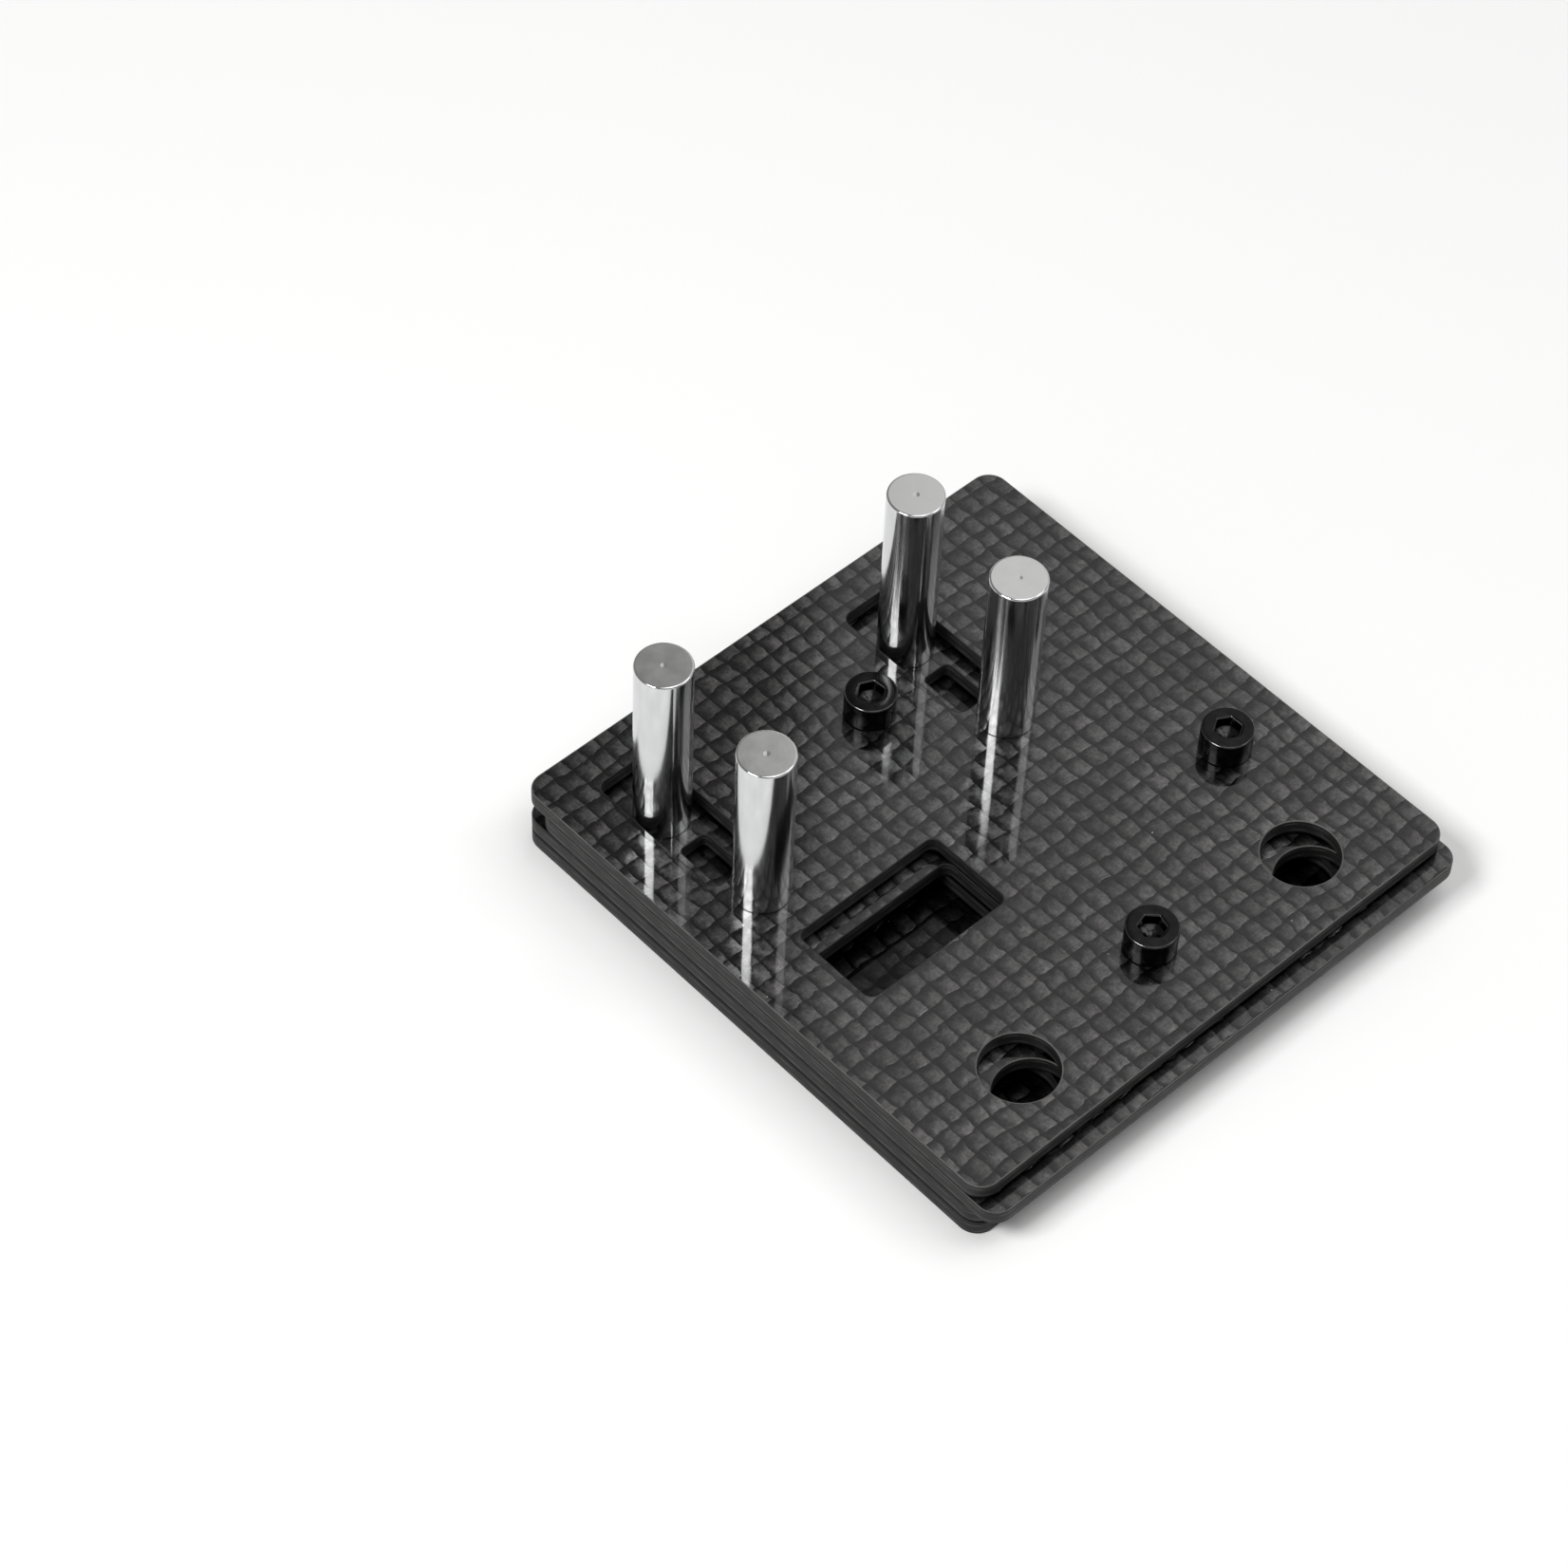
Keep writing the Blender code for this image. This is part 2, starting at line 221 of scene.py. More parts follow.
def long_slot(x0, x1, y, half, grow):
    """Slot outline along X with half-round ends."""
    reach = half + grow
    points = []
    for cx, start in ((x1 - half, -90.0), (x0 + half, 90.0)):
        for i in range(SLOT_END_STEPS + 1):
            a = math.radians(start + 180.0 * i / SLOT_END_STEPS)
            points.append((cx + reach * math.cos(a), y + reach * math.sin(a)))
    return points


def quarter(radius, angles):
    """Inset and drop of a rounded edge at each angle, from its side to its top."""
    return [(radius * (1.0 - math.cos(math.radians(a))), radius * (1.0 - math.sin(math.radians(a))))
            for a in angles]


def rim_levels(loop, z0, z1, sign):
    """A cut wall with rounded rims.  sign is -1 on the plate's outer edge."""
    levels = [(z0, sign * (RIM_BREAK + RIM_LAND))]
    for rise, inset in quarter(RIM_BREAK, (0.0, 22.5, 45.0, 67.5, 90.0)):
        levels.append((z0 + rise, sign * inset))
    levels += [(z0 + z1 - z, grow) for z, grow in reversed(levels)]
    return [(z, loop(grow)) for z, grow in levels]


def add_ring(bm, points, z):
    return [bm.verts.new((x, y, z)) for x, y in points]


def bridge(bm, rings, slot=0):
    """Join each ring to the next one with a band of faces."""
    for low, high in zip(rings, rings[1:]):
        count = len(low)
        for i in range(count):
            j = (i + 1) % count
            face = bm.faces.new((low[i], low[j], high[j], high[i]))
            face.material_index = slot


def add_wall(bm, levels, slot):
    rings = [add_ring(bm, points, z) for z, points in levels]
    bridge(bm, rings, slot)
    return rings[0], rings[-1]


def add_cap(bm, rings, slot):
    """Fill the first ring flat around the others, which are convex holes."""
    verts = [v for ring in rings for v in ring]
    owner = [k for k, ring in enumerate(rings) for v in ring]
    edges = []
    start = 0
    for ring in rings:
        count = len(ring)
        edges += [(start + i, start + (i + 1) % count) for i in range(count)]
        start += count
    flat = [Vector((v.co.x, v.co.y)) for v in verts]
    result = delaunay_2d_cdt(flat, edges, [], 0, 1e-9)
    source = [ids[0] for ids in result[3]]
    for tri in result[2]:
        ids = [source[i] for i in tri]
        owners = {owner[i] for i in ids}
        if len(owners) > 1 or owners == {0}:
            face = bm.faces.new([verts[i] for i in ids])
            face.material_index = slot


def finish_mesh(name, bm, mats, body, nodes, angle=30.0):
    """Turn a bmesh into a piece that stands for CAD nodes and rides their body."""
    bmesh.ops.recalc_face_normals(bm, faces=bm.faces)
    mesh = bpy.data.meshes.new(name)
    bm.to_mesh(mesh)
    bm.free()
    mesh.shade_smooth()
    mesh.set_sharp_from_angle(angle=math.radians(angle))
    for mat in mats:
        mesh.materials.append(mat)
    obj = bpy.data.objects.new(name, mesh)
    bpy.context.scene.collection.objects.link(obj)
    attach(obj, body)
    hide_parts(*nodes)
    return obj


def add_turn_attribute(obj, centre, top):
    """Store each corner's place from the piece's own axis and top for the turned finishes."""
    attribute = obj.data.attributes.new("turn", "FLOAT_VECTOR", "POINT")
    for i, v in enumerate(obj.data.vertices):
        attribute.data[i].vector = (v.co.x - centre[0], v.co.y - centre[1], v.co.z - top)


def centre_of(node):
    low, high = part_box(node)
    return (low.x + high.x) * 0.5, (low.y + high.y) * 0.5


def z_range(node):
    low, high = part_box(node)
    return low.z, high.z


def add_rings(bm, centre, profile, steps, slots=None):
    """Turn (radius, z) pairs about the axis; slots gives the material of each band."""
    rings = []
    for radius, z in profile:
        if radius == 0.0:
            rings.append([bm.verts.new((centre[0], centre[1], z))])
        else:
            rings.append(add_ring(bm, circle(centre, radius, steps), z))
    for k, (low, high) in enumerate(zip(rings, rings[1:])):
        for i in range(steps):
            j = (i + 1) % steps
            if len(low) == 1:
                face = bm.faces.new((low[0], high[j], high[i]))
            elif len(high) == 1:
                face = bm.faces.new((low[i], low[j], high[0]))
            else:
                face = bm.faces.new((low[i], low[j], high[j], high[i]))
            face.material_index = slots[k] if slots else 0
    return rings


# Shader graphs

class Graph:
    """A material's nodes, with one call for each kind used here."""

    def __init__(self, name):
        self.mat = bpy.data.materials.new(name)
        self.mat.use_nodes = True
        self.tree = self.mat.node_tree
        self.shader = self.tree.nodes["Principled BSDF"]

    def link(self, source, target):
        """Connect a socket, or set a plain number or tuple on the target."""
        if isinstance(source, (int, float, tuple)):
            target.default_value = source
        else:
            self.tree.links.new(source, target)

    def node(self, kind):
        return self.tree.nodes.new(kind)

    def math(self, operation, *values):
        n = self.node("ShaderNodeMath")
        n.operation = operation
        for value, socket in zip(values, n.inputs):
            self.link(value, socket)
        return n.outputs[0]

    def split(self, vector):
        n = self.node("ShaderNodeSeparateXYZ")
        self.link(vector, n.inputs[0])
        return n.outputs

    def join(self, x, y, z=0.0):
        n = self.node("ShaderNodeCombineXYZ")
        for value, socket in zip((x, y, z), n.inputs):
            self.link(value, socket)
        return n.outputs[0]

    def mix(self, factor, a, b, kind="FLOAT"):
        n = self.node("ShaderNodeMix")
        n.data_type = kind
        pick = {"FLOAT": (2, 3, 0), "VECTOR": (4, 5, 1), "RGBA": (6, 7, 2)}[kind]
        self.link(factor, n.inputs[0])
        self.link(a, n.inputs[pick[0]])
        self.link(b, n.inputs[pick[1]])
        return n.outputs[pick[2]]

    def tinted(self, colour, tint):
        """Multiply two colours."""
        n = self.node("ShaderNodeMix")
        n.data_type = "RGBA"
        n.blend_type = "MULTIPLY"
        self.link(1.0, n.inputs[0])
        self.link(colour, n.inputs[6])
        self.link(tint, n.inputs[7])
        return n.outputs[2]

    def specks(self, scale, radius, rare):
        """1 inside a few small scattered dots, 0 elsewhere."""
        n = self.node("ShaderNodeTexVoronoi")
        self.link(self.place(), n.inputs["Vector"])
        n.inputs["Scale"].default_value = scale
        near = self.math("LESS_THAN", n.outputs["Distance"], radius)
        chosen = self.math("GREATER_THAN", self.random(n.outputs["Position"]), rare)
        return self.math("MULTIPLY", near, chosen)

    def noise(self, vector, scale=1.0, detail=2.0, rough=0.5):
        n = self.node("ShaderNodeTexNoise")
        n.noise_dimensions = "3D"
        self.link(vector, n.inputs["Vector"])
        n.inputs["Scale"].default_value = scale
        n.inputs["Detail"].default_value = detail
        n.inputs["Roughness"].default_value = rough
        return n.outputs["Fac"]

    def random(self, vector):
        """A number from 0 to 1 that is fixed for each input vector."""
        n = self.node("ShaderNodeTexWhiteNoise")
        n.noise_dimensions = "3D"
        self.link(vector, n.inputs["Vector"])
        return n.outputs["Value"]

    def span(self, value, low, high, to_low, to_high, smooth=False):
        """Map low..high to to_low..to_high, clamped at both ends."""
        n = self.node("ShaderNodeMapRange")
        n.interpolation_type = "SMOOTHSTEP" if smooth else "LINEAR"
        for item, socket in zip((value, low, high, to_low, to_high), n.inputs):
            self.link(item, socket)
        return n.outputs[0]

    def grey(self, value, tint=(1.0, 1.0, 1.0)):
        """Turn a brightness into a colour with a fixed tint."""
        n = self.node("ShaderNodeCombineColor")
        for k, part in enumerate(tint):
            self.link(self.math("MULTIPLY", value, part), n.inputs[k])
        return n.outputs[0]

    def bump(self, height, distance, strength=1.0, normal=None):
        n = self.node("ShaderNodeBump")
        n.inputs["Strength"].default_value = strength
        n.inputs["Distance"].default_value = distance
        self.link(height, n.inputs["Height"])
        if normal is not None:
            self.link(normal, n.inputs["Normal"])
        return n.outputs[0]

    def place(self):
        """Position in the piece's own coordinates, which are the CAD frame at rest."""
        return self.node("ShaderNodeTexCoord").outputs["Object"]

    def attribute(self, name):
        n = self.node("ShaderNodeAttribute")
        n.attribute_name = name
        return n.outputs["Vector"]

    def set(self, **values):
        """Set uniform values on the shader's own sockets."""
        for name, value in values.items():
            self.shader.inputs[name.replace("_", " ")].default_value = value

    def feed(self, name, socket):
        self.tree.links.new(socket, self.shader.inputs[name])


def weave_field(g, shift):
    """Plain weave: the tows' relief, which tow is on top, its fibres, and its cell.

    The last two outputs are the distance from the two seams where a tile is tucked under the
    next, and the way across the tile from the corner between them.
    """
    phase_x, phase_y, seed = shift
    x, y = g.split(g.place())[:2]
    flat = g.join(g.math("MULTIPLY", x, 1.0 / MM), g.math("MULTIPLY", y, 1.0 / MM), seed)
    other = g.join(*g.split(flat)[:2], seed + 40.0)
    sway_u = g.math("SUBTRACT", g.noise(flat, SWAY_SCALE, 1.0), 0.5)
    sway_v = g.math("SUBTRACT", g.noise(other, SWAY_SCALE, 1.0), 0.5)
    u = g.math("MULTIPLY_ADD", sway_u, SWAY, g.math("MULTIPLY_ADD", x, 1.0 / TOW_X, phase_x))
    v = g.math("MULTIPLY_ADD", sway_v, SWAY, g.math("MULTIPLY_ADD", y, 1.0 / TOW_Y, phase_y))
    u = g.math("MULTIPLY_ADD", g.noise(flat, RAGGED_SCALE, 2.0), RAGGED, u)
    v = g.math("MULTIPLY_ADD", g.noise(other, RAGGED_SCALE, 2.0), RAGGED, v)
    cell = g.join(g.math("FLOOR", u), g.math("FLOOR", v), seed)
    sin_u = g.math("SINE", g.math("MULTIPLY", u, math.pi))
    sin_v = g.math("SINE", g.math("MULTIPLY", v, math.pi))
    warp_on_top = g.math("GREATER_THAN", g.math("MULTIPLY", sin_u, sin_v), 0.0)

    def tile(along, across):
        """A tow's visible tile: it dives at both ends and rounds off at its sides."""
        dive = g.math("POWER", g.math("ABSOLUTE", along), TOW_DIVE)
        side = g.math("POWER", g.math("ABSOLUTE", across), TOW_SIDE)
        return g.math("MULTIPLY", dive, side)

    warp = tile(sin_u, sin_v)
    weft = tile(sin_v, sin_u)
    relief = g.mix(warp_on_top, weft, warp)
    fibre_x = g.join(g.math("MULTIPLY", u, FIBRE_LONG), g.math("MULTIPLY", v, FIBRE_WIDE), seed)
    fibre_y = g.join(g.math("MULTIPLY", u, FIBRE_WIDE), g.math("MULTIPLY", v, FIBRE_LONG), seed)
    fibre = g.noise(g.mix(warp_on_top, fibre_y, fibre_x, "VECTOR"), 1.0, 3.0, 0.68)
    ragged = g.math("MULTIPLY_ADD", g.noise(flat, 1.1, 2.0, 0.7), 0.62, -0.33)
    part_u, part_v = g.math("FRACT", u), g.math("FRACT", v)
    from_end = g.mix(warp_on_top, part_v, part_u)
    from_side = g.mix(warp_on_top, part_u, part_v)
    tuck = g.math("MINIMUM", from_end, g.math("MULTIPLY", from_side, SIDE_SHARP))
    tuck = g.math("ADD", tuck, ragged)
    across = g.math("MULTIPLY", g.math("ADD", part_u, part_v), 0.5)
    return relief, warp_on_top, fibre, cell, tuck, across


def carbon_face(name, shift, painted_depth_shade, coat):
    """Clear-coated plain-weave laminate.  The tows print through the coat as a low relief.

    The highlight of each tow is stretched along the direction across its fibres.  Its colour
    carries painted shade in the low seams and where a tile tucks under the next, and a painted
    gradient that lightens each tile towards its +X, +Y corner.
    """
    g = Graph(name)
    relief, warp_on_top, fibre, cell, tuck, across = weave_field(g, shift)
    # painted shade: darker in the low seams and where a tile tucks under the next, then a painted
    # gradient, darker at a tile's -X, -Y corner and lighter at its +X, +Y corner
    painted_tile_shade = g.math("MULTIPLY", g.span(relief, 0.0, 0.22, 0.92, 1.0, True),
                 g.span(tuck, -0.04, TUCK, TUCK_SHADE, 1.0, True))
    painted_tile_shade = g.math("MULTIPLY", painted_tile_shade, g.span(across, 0.1, 0.9, 0.62, 1.30))
    tone = g.math("MULTIPLY", painted_tile_shade, g.span(fibre, 0.25, 0.75, *FIBRE_SPREAD))
    tone = g.math("MULTIPLY", tone, g.span(g.random(cell), 0.0, 1.0, *CELL_SPREAD))
    blotch = g.noise(g.place(), 1.0 / BLOTCH_SIZE, 4.0, 0.8)
    tone = g.math("MULTIPLY", tone, g.span(blotch, 0.36, 0.64, *BLOTCH_SPREAD))
    broad = g.noise(g.place(), 1.0 / BROAD_SIZE, 3.0, 0.6)
    tone = g.math("MULTIPLY", tone, g.span(broad, 0.36, 0.64, *BROAD_SPREAD))
    tint = g.mix(g.random(g.join(*g.split(cell)[:2], 7.0)), FIBRE_WARM, FIBRE_COOL, "RGBA")
    # the plate's painted shade scales the whole weave's colour
    shade = g.tinted(g.grey(g.math("MULTIPLY", tone, FIBRE_TONE * painted_depth_shade)), tint)
    mote = g.specks(1.0 / MOTE_SPACING, MOTE_SIZE, MOTE_RARE)
    g.feed("Base Color", g.mix(mote, shade, MOTE, "RGBA"))
    g.feed("Roughness", g.span(fibre, 0.2, 0.8, 0.29, 0.36))
    g.set(Metallic=1.0, Anisotropic=0.55, Coat_Weight=coat, Coat_Roughness=0.03, Coat_IOR=1.5)
    g.feed("Normal", g.bump(g.math("MULTIPLY_ADD", fibre, 0.06, relief), TOW_RELIEF))
    g.feed("Tangent", g.mix(warp_on_top, (1.0, 0.0, 0.0), (0.0, 1.0, 0.0), "VECTOR"))
    skin = g.bump(g.noise(g.place(), 150.0, 1.0), COAT_SWELL)
    g.feed("Coat Normal", g.bump(relief, PRINT_THROUGH, 1.0, skin))
    return g.mat


def carbon_edge(name, low, rim_highlight):
    """Cut edge of the laminate: dull grey, with two beaded lighter plies and a painted highlight
    along its rims.

    low is the plate's underside.  Heights up the edge and runs along it are in millimetres.
    """
    g = Graph(name)
    x, y, z = g.split(g.place())
    height = g.math("MULTIPLY", g.math("SUBTRACT", z, low), 1.0 / MM)
    run = g.math("MULTIPLY", g.math("ADD", x, y), 1.0 / MM)
    wander = g.noise(g.join(run, 0.0, low / MM), 0.35, 2.0)
    up = g.math("MULTIPLY_ADD", g.math("SUBTRACT", wander, 0.5), PLY_WANDER, height)

    def ply(at, phase):
        off = g.math("DIVIDE", g.math("SUBTRACT", up, at), PLY_WIDTH)
        line = g.math("EXPONENT", g.math("MULTIPLY", g.math("MULTIPLY", off, off), -1.0))
        bead = g.math("SINE", g.math("MULTIPLY_ADD", run, math.pi * MM / TOW_X, phase))
        return g.math("MULTIPLY", line, g.span(bead, -0.6, 0.9, 0.25, 1.0, True))

    lines = g.math("ADD", *(ply(*at) for at in zip(PLY_HEIGHTS, PLY_PHASES)))
    half = PLATE_THICK * 0.5 / MM
    from_middle = g.math("ABSOLUTE", g.math("SUBTRACT", height, half))
    # painted highlight along the rounded rims at the top and bottom of the edge
    rim_highlight_band = g.span(from_middle, half - RIM_FADE[0], half - RIM_FADE[1], 0.0, 1.0, True)
    stretch = g.join(g.math("MULTIPLY", run, 9.0), g.math("MULTIPLY", up, 2.2), low / MM)
    grain = g.noise(stretch, 1.0, 4.0, 0.65)
    stretch = g.join(g.math("MULTIPLY", run, 0.25), g.math("MULTIPLY", up, 7.0), 3.0)
    bands = g.noise(stretch, 1.0, 2.0)
    tone = g.math("MULTIPLY_ADD", lines, PLY_TONE, EDGE_TONE)
    tone = g.math("MULTIPLY_ADD", rim_highlight_band, rim_highlight, tone)
    tone = g.math("MULTIPLY", tone, g.span(grain, 0.3, 0.7, 0.70, 1.30))
    tone = g.math("MULTIPLY", tone, g.span(bands, 0.3, 0.7, 0.75, 1.25))
    g.feed("Base Color", g.grey(tone, (1.0, 1.0, 0.98)))
    g.feed("Roughness", g.span(grain, 0.2, 0.8, 0.42, 0.62))
    g.set(Specular_IOR_Level=0.20)
    relief = g.math("MULTIPLY_ADD", lines, 0.8, g.math("ADD", grain, bands))
    g.feed("Normal", g.bump(relief, 0.012 * MM))
    return g.mat


def steel_side(name):
    """Ground and polished dowel wall with faint turning lines."""
    g = Graph(name)
    x, y, z = g.split(g.attribute("turn"))
    angle = g.math("ARCTAN2", y, x)
    around = g.join(g.math("MULTIPLY", angle, 1.5), g.math("MULTIPLY", z, 9000.0), 0.0)
    lines = g.noise(around, 1.0, 3.0)
    upright = g.join(g.math("MULTIPLY", angle, 3.0), g.math("MULTIPLY", z, 220.0), 5.0)
    smear = g.noise(upright, 1.0, 3.0)
    g.feed("Base Color", g.grey(g.span(smear, 0.3, 0.7, 0.60, 0.70), (0.985, 0.99, 1.0)))
    g.feed("Roughness", g.span(smear, 0.3, 0.75, 0.10, 0.15))
    g.set(Metallic=1.0, Anisotropic=0.85)
    g.feed("Tangent", g.join(0.0, 0.0, 1.0))
    g.feed("Normal", g.bump(lines, 0.0006 * MM))
    return g.mat


def steel_end(name):
    """Satin faced-off end with concentric tool marks."""
    g = Graph(name)
    x, y = g.split(g.attribute("turn"))[:2]
    reach = g.math("SQRT", g.math("ADD", g.math("MULTIPLY", x, x), g.math("MULTIPLY", y, y)))
    reach_mm = g.math("MULTIPLY", reach, 1.0 / MM)
    marks = g.noise(g.join(g.math("MULTIPLY", reach_mm, 5.0), 0.0, 0.0), 1.0, 3.0, 0.6)
    cloud = g.noise(g.attribute("turn"), 450.0, 3.0)
    g.feed("Base Color", g.grey(g.span(cloud, 0.3, 0.7, 0.64, 0.72), (1.0, 0.995, 0.985)))
    g.feed("Roughness", g.span(cloud, 0.25, 0.75, 0.12, 0.19))
    g.set(Metallic=1.0)
    g.feed("Normal", g.bump(marks, 0.0012 * MM))
    return g.mat


def black_oxide(name, base, rough):
    """Blackened steel, with a painted highlight that makes the edges just below its top a little
    brighter.
    """
    g = Graph(name)
    spot = g.attribute("turn")
    below = g.math("MULTIPLY", g.split(spot)[2], -1.0 / MM)
    # painted highlight: a brighter band on the edges just below the top
    edge_glint = g.math("MULTIPLY", g.span(below, *EDGE_GLINT_START, 0.0, 1.0, True),
                  g.span(below, *EDGE_GLINT_END, 1.0, 0.0, True))
    fine = g.noise(spot, 5200.0, 3.0)
    broad = g.noise(spot, 900.0, 2.0)
    plain = g.span(broad, 0.3, 0.7, base * 0.8, base * 1.25)
    tone = g.math("MULTIPLY_ADD", edge_glint, EDGE_GLINT_TONE, plain)
    g.feed("Base Color", g.grey(tone, (1.0, 0.99, 1.0)))
    g.feed("Roughness", g.span(fine, 0.25, 0.75, rough - 0.05, rough + 0.07))
    g.set(Metallic=1.0)
    g.feed("Normal", g.bump(fine, 0.0015 * MM))
    return g.mat


def zinc_plate(name):
    """Bright zinc plating, slightly clouded."""
    g = Graph(name)
    spot = g.attribute("turn")
    fine = g.noise(spot, 3000.0, 3.0)
    broad = g.noise(spot, 600.0, 2.0)
    g.feed("Base Color", g.grey(g.span(broad, 0.3, 0.7, 0.48, 0.60), (0.97, 0.99, 1.0)))
    g.feed("Roughness", g.span(fine, 0.25, 0.75, 0.26, 0.36))
    g.set(Metallic=1.0)
    g.feed("Normal", g.bump(fine, 0.004 * MM))
    return g.mat


# Plates
#
# The outline functions return a loop: a function from an outward offset to a list of points.

def plate_outline(shift=0.0):
    return lambda grow: rounded_box(shift - PLATE_HALF, shift + PLATE_HALF, -PLATE_HALF_DEEP,
                                    PLATE_HALF_DEEP, PLATE_CORNER_R, grow)


def window_outline(shift=0.0):
    x0, x1, y0, y1 = WINDOW
    return lambda grow: rounded_box(x0 + shift, x1 + shift, y0, y1, WINDOW_CORNER, grow)


def hole_outline(centre, radius, steps=FINE):
    return lambda grow: circle(centre, radius + grow, steps)


def post_slot_outline(y):
    return lambda grow: rounded_box(*POST_SLOT, y - POST_SLOT_HALF, y + POST_SLOT_HALF,
                                    POST_SLOT_CORNER, grow)


def relief_outline(y):
    return lambda grow: rounded_box(*RELIEF, y - RELIEF_HALF, y + RELIEF_HALF,
                                    RELIEF_CORNER, grow)


def run_outline(centre, radius):
    left = centre[0] - SLIDE_OUT - radius
    right = centre[0] + SLIDE_REST + radius
    return lambda grow: long_slot(left, right, centre[1], radius, grow)


def straight(loop, z0, z1):
    """A plain cut wall."""
    return [(z0, loop(0.0)), (z1, loop(0.0))]


def sunk(centre, z0, z1):
    """A screw hole, countersunk from below."""
    wide = circle(centre, SINK_MOUTH_R, MEDIUM)
    bore = circle(centre, SINK_HOLE_R, MEDIUM)
    return [(z0, wide), (z0 + SINK_DEEP, bore), (z1, bore)]


def build_plate(node, body, outer, cuts, pin_holes=()):
    """One laminate plate.  Its outer edge and pin holes get a painted highlight on their rims, the
    other cuts don't.
    """
    bm = bmesh.new()
    walls = [add_wall(bm, levels, 1) for levels in (outer, *pin_holes)]
    walls += [add_wall(bm, levels, 2) for levels in cuts]
    add_cap(bm, [low for low, high in walls], 0)
    add_cap(bm, [high for low, high in walls], 0)
    low = z_range(node)[0]
    # painted shade for plates lower in the stack, which also dims the painted rim highlight
    shift, painted_depth_shade, coat = PLATE_LOOKS[node]
    mats = [carbon_face(node + "_weave", shift, painted_depth_shade, coat),
            carbon_edge(node + "_edge", low, RIM_HIGHLIGHT_TONE * painted_depth_shade ** 2),
            carbon_edge(node + "_cut", low, 0.0)]
    return finish_mesh(node + "_laminate", bm, mats, body, [node])


def build_top_plate(screws, fixed):
    z0, z1 = z_range("top_plate")
    cuts = [rim_levels(window_outline(), z0, z1, 1.0)]
    pins = [rim_levels(hole_outline(c, PIN_HOLE_R), z0, z1, 1.0) for c in PIN_HOLES]
    cuts += [rim_levels(post_slot_outline(c[1]), z0, z1, 1.0) for c in fixed]
    cuts += [sunk(c, z0, z1) for c in fixed]
    cuts += [straight(hole_outline(c, CLEAR_R, MEDIUM), z0, z1) for c in screws]
    build_plate("top_plate", "frame", rim_levels(plate_outline(), z0, z1, -1.0), cuts, pins)


def build_clamp_plate(screws, riding):
    z0, z1 = z_range("clamp_plate")
    cuts = [rim_levels(window_outline(SLIDE_REST), z0, z1, 1.0)]
    pins = [rim_levels(hole_outline((cx + SLIDE_REST, cy), PIN_HOLE_R), z0, z1, 1.0)
            for cx, cy in PIN_HOLES]
    cuts += [straight(run_outline(c, CLEAR_R), z0, z1) for c in screws]
    cuts += [rim_levels(relief_outline(c[1]), z0, z1, 1.0) for c in riding]
    cuts += [sunk(c, z0, z1) for c in riding]
    outer = rim_levels(plate_outline(SLIDE_REST), z0, z1, -1.0)
    build_plate("clamp_plate", "slide", outer, cuts, pins)


def build_guide_plate(screws):
    z0, z1 = z_range("guide_plate")
    cuts = [straight(window_outline(), z0, z1)]
    cuts += [straight(hole_outline(c, PIN_HOLE_R), z0, z1) for c in PIN_HOLES]
    cuts += [straight(hole_outline(c, CLEAR_R, MEDIUM), z0, z1) for c in screws]
    build_plate("guide_plate", "frame", rim_levels(plate_outline(), z0, z1, -1.0), cuts)


def build_base_plate(screws):
    z0, z1 = z_range("base_plate")
    cuts = [straight(hole_outline(c, NUT_POCKET / COS_30, 6), z0, z1) for c in screws]
    build_plate("base_plate", "frame", rim_levels(plate_outline(), z0, z1, -1.0), cuts)


def build_plates():
    screws = [centre_of("clamp_screw_" + k) for k in ("left", "back", "right")]
    build_top_plate(screws, [centre_of("fixed_post_" + k) for k in ("front", "back")])
    build_clamp_plate(screws, [centre_of("riding_post_" + k) for k in ("front", "back")])
    build_guide_plate(screws)
    build_base_plate(screws)


# Posts

def build_post(node, body, mats):
    """Dowel standing on its plate, with a tapped foot and a small centre mark on its top."""
    centre = centre_of(node)
    foot, top = z_range(node)
    foot -= SEAT_GAP
    tap = THREAD_R + BORE_BREAK
    deep = foot + TAP_DEEP
    profile = [(0.0, deep + TAP_CONE), (tap, deep), (tap, foot + BORE_BREAK),
               (tap + BORE_BREAK, foot), (POST_R - POST_FOOT_BREAK, foot),
               (POST_R, foot + POST_FOOT_BREAK), (POST_R, top - POST_ROUND)]
    profile += [(POST_R - inset, top - drop)
                for inset, drop in quarter(POST_ROUND, (22.5, 45.0, 67.5, 90.0))]
    side_bands = len(profile) - 1
    profile += [(r * MM, top - d * MM) for r, d in POST_TOP_RINGS]
    profile.append((0.0, top - POST_MARK_DEEP))
    slots = [0] * side_bands + [1] * (len(profile) - 1 - side_bands)
    bm = bmesh.new()
    add_rings(bm, centre, profile, FINE, slots)
    obj = finish_mesh(node + "_dowel", bm, mats, body, [node], 24.0)
    add_turn_attribute(obj, centre, top)
    return obj


# Fasteners

def hexagon(centre, radius, steps, start=0.0):
    """Points of a hexagon at even angles; radius is to its corners."""
    points = []
    for i in range(steps):
        a = math.tau * i / steps
        reach = radius * COS_30 / math.cos((a % SIXTH) - SIXTH * 0.5)
        points.append((centre[0] + reach * math.cos(a + start),
                       centre[1] + reach * math.sin(a + start)))
    return points


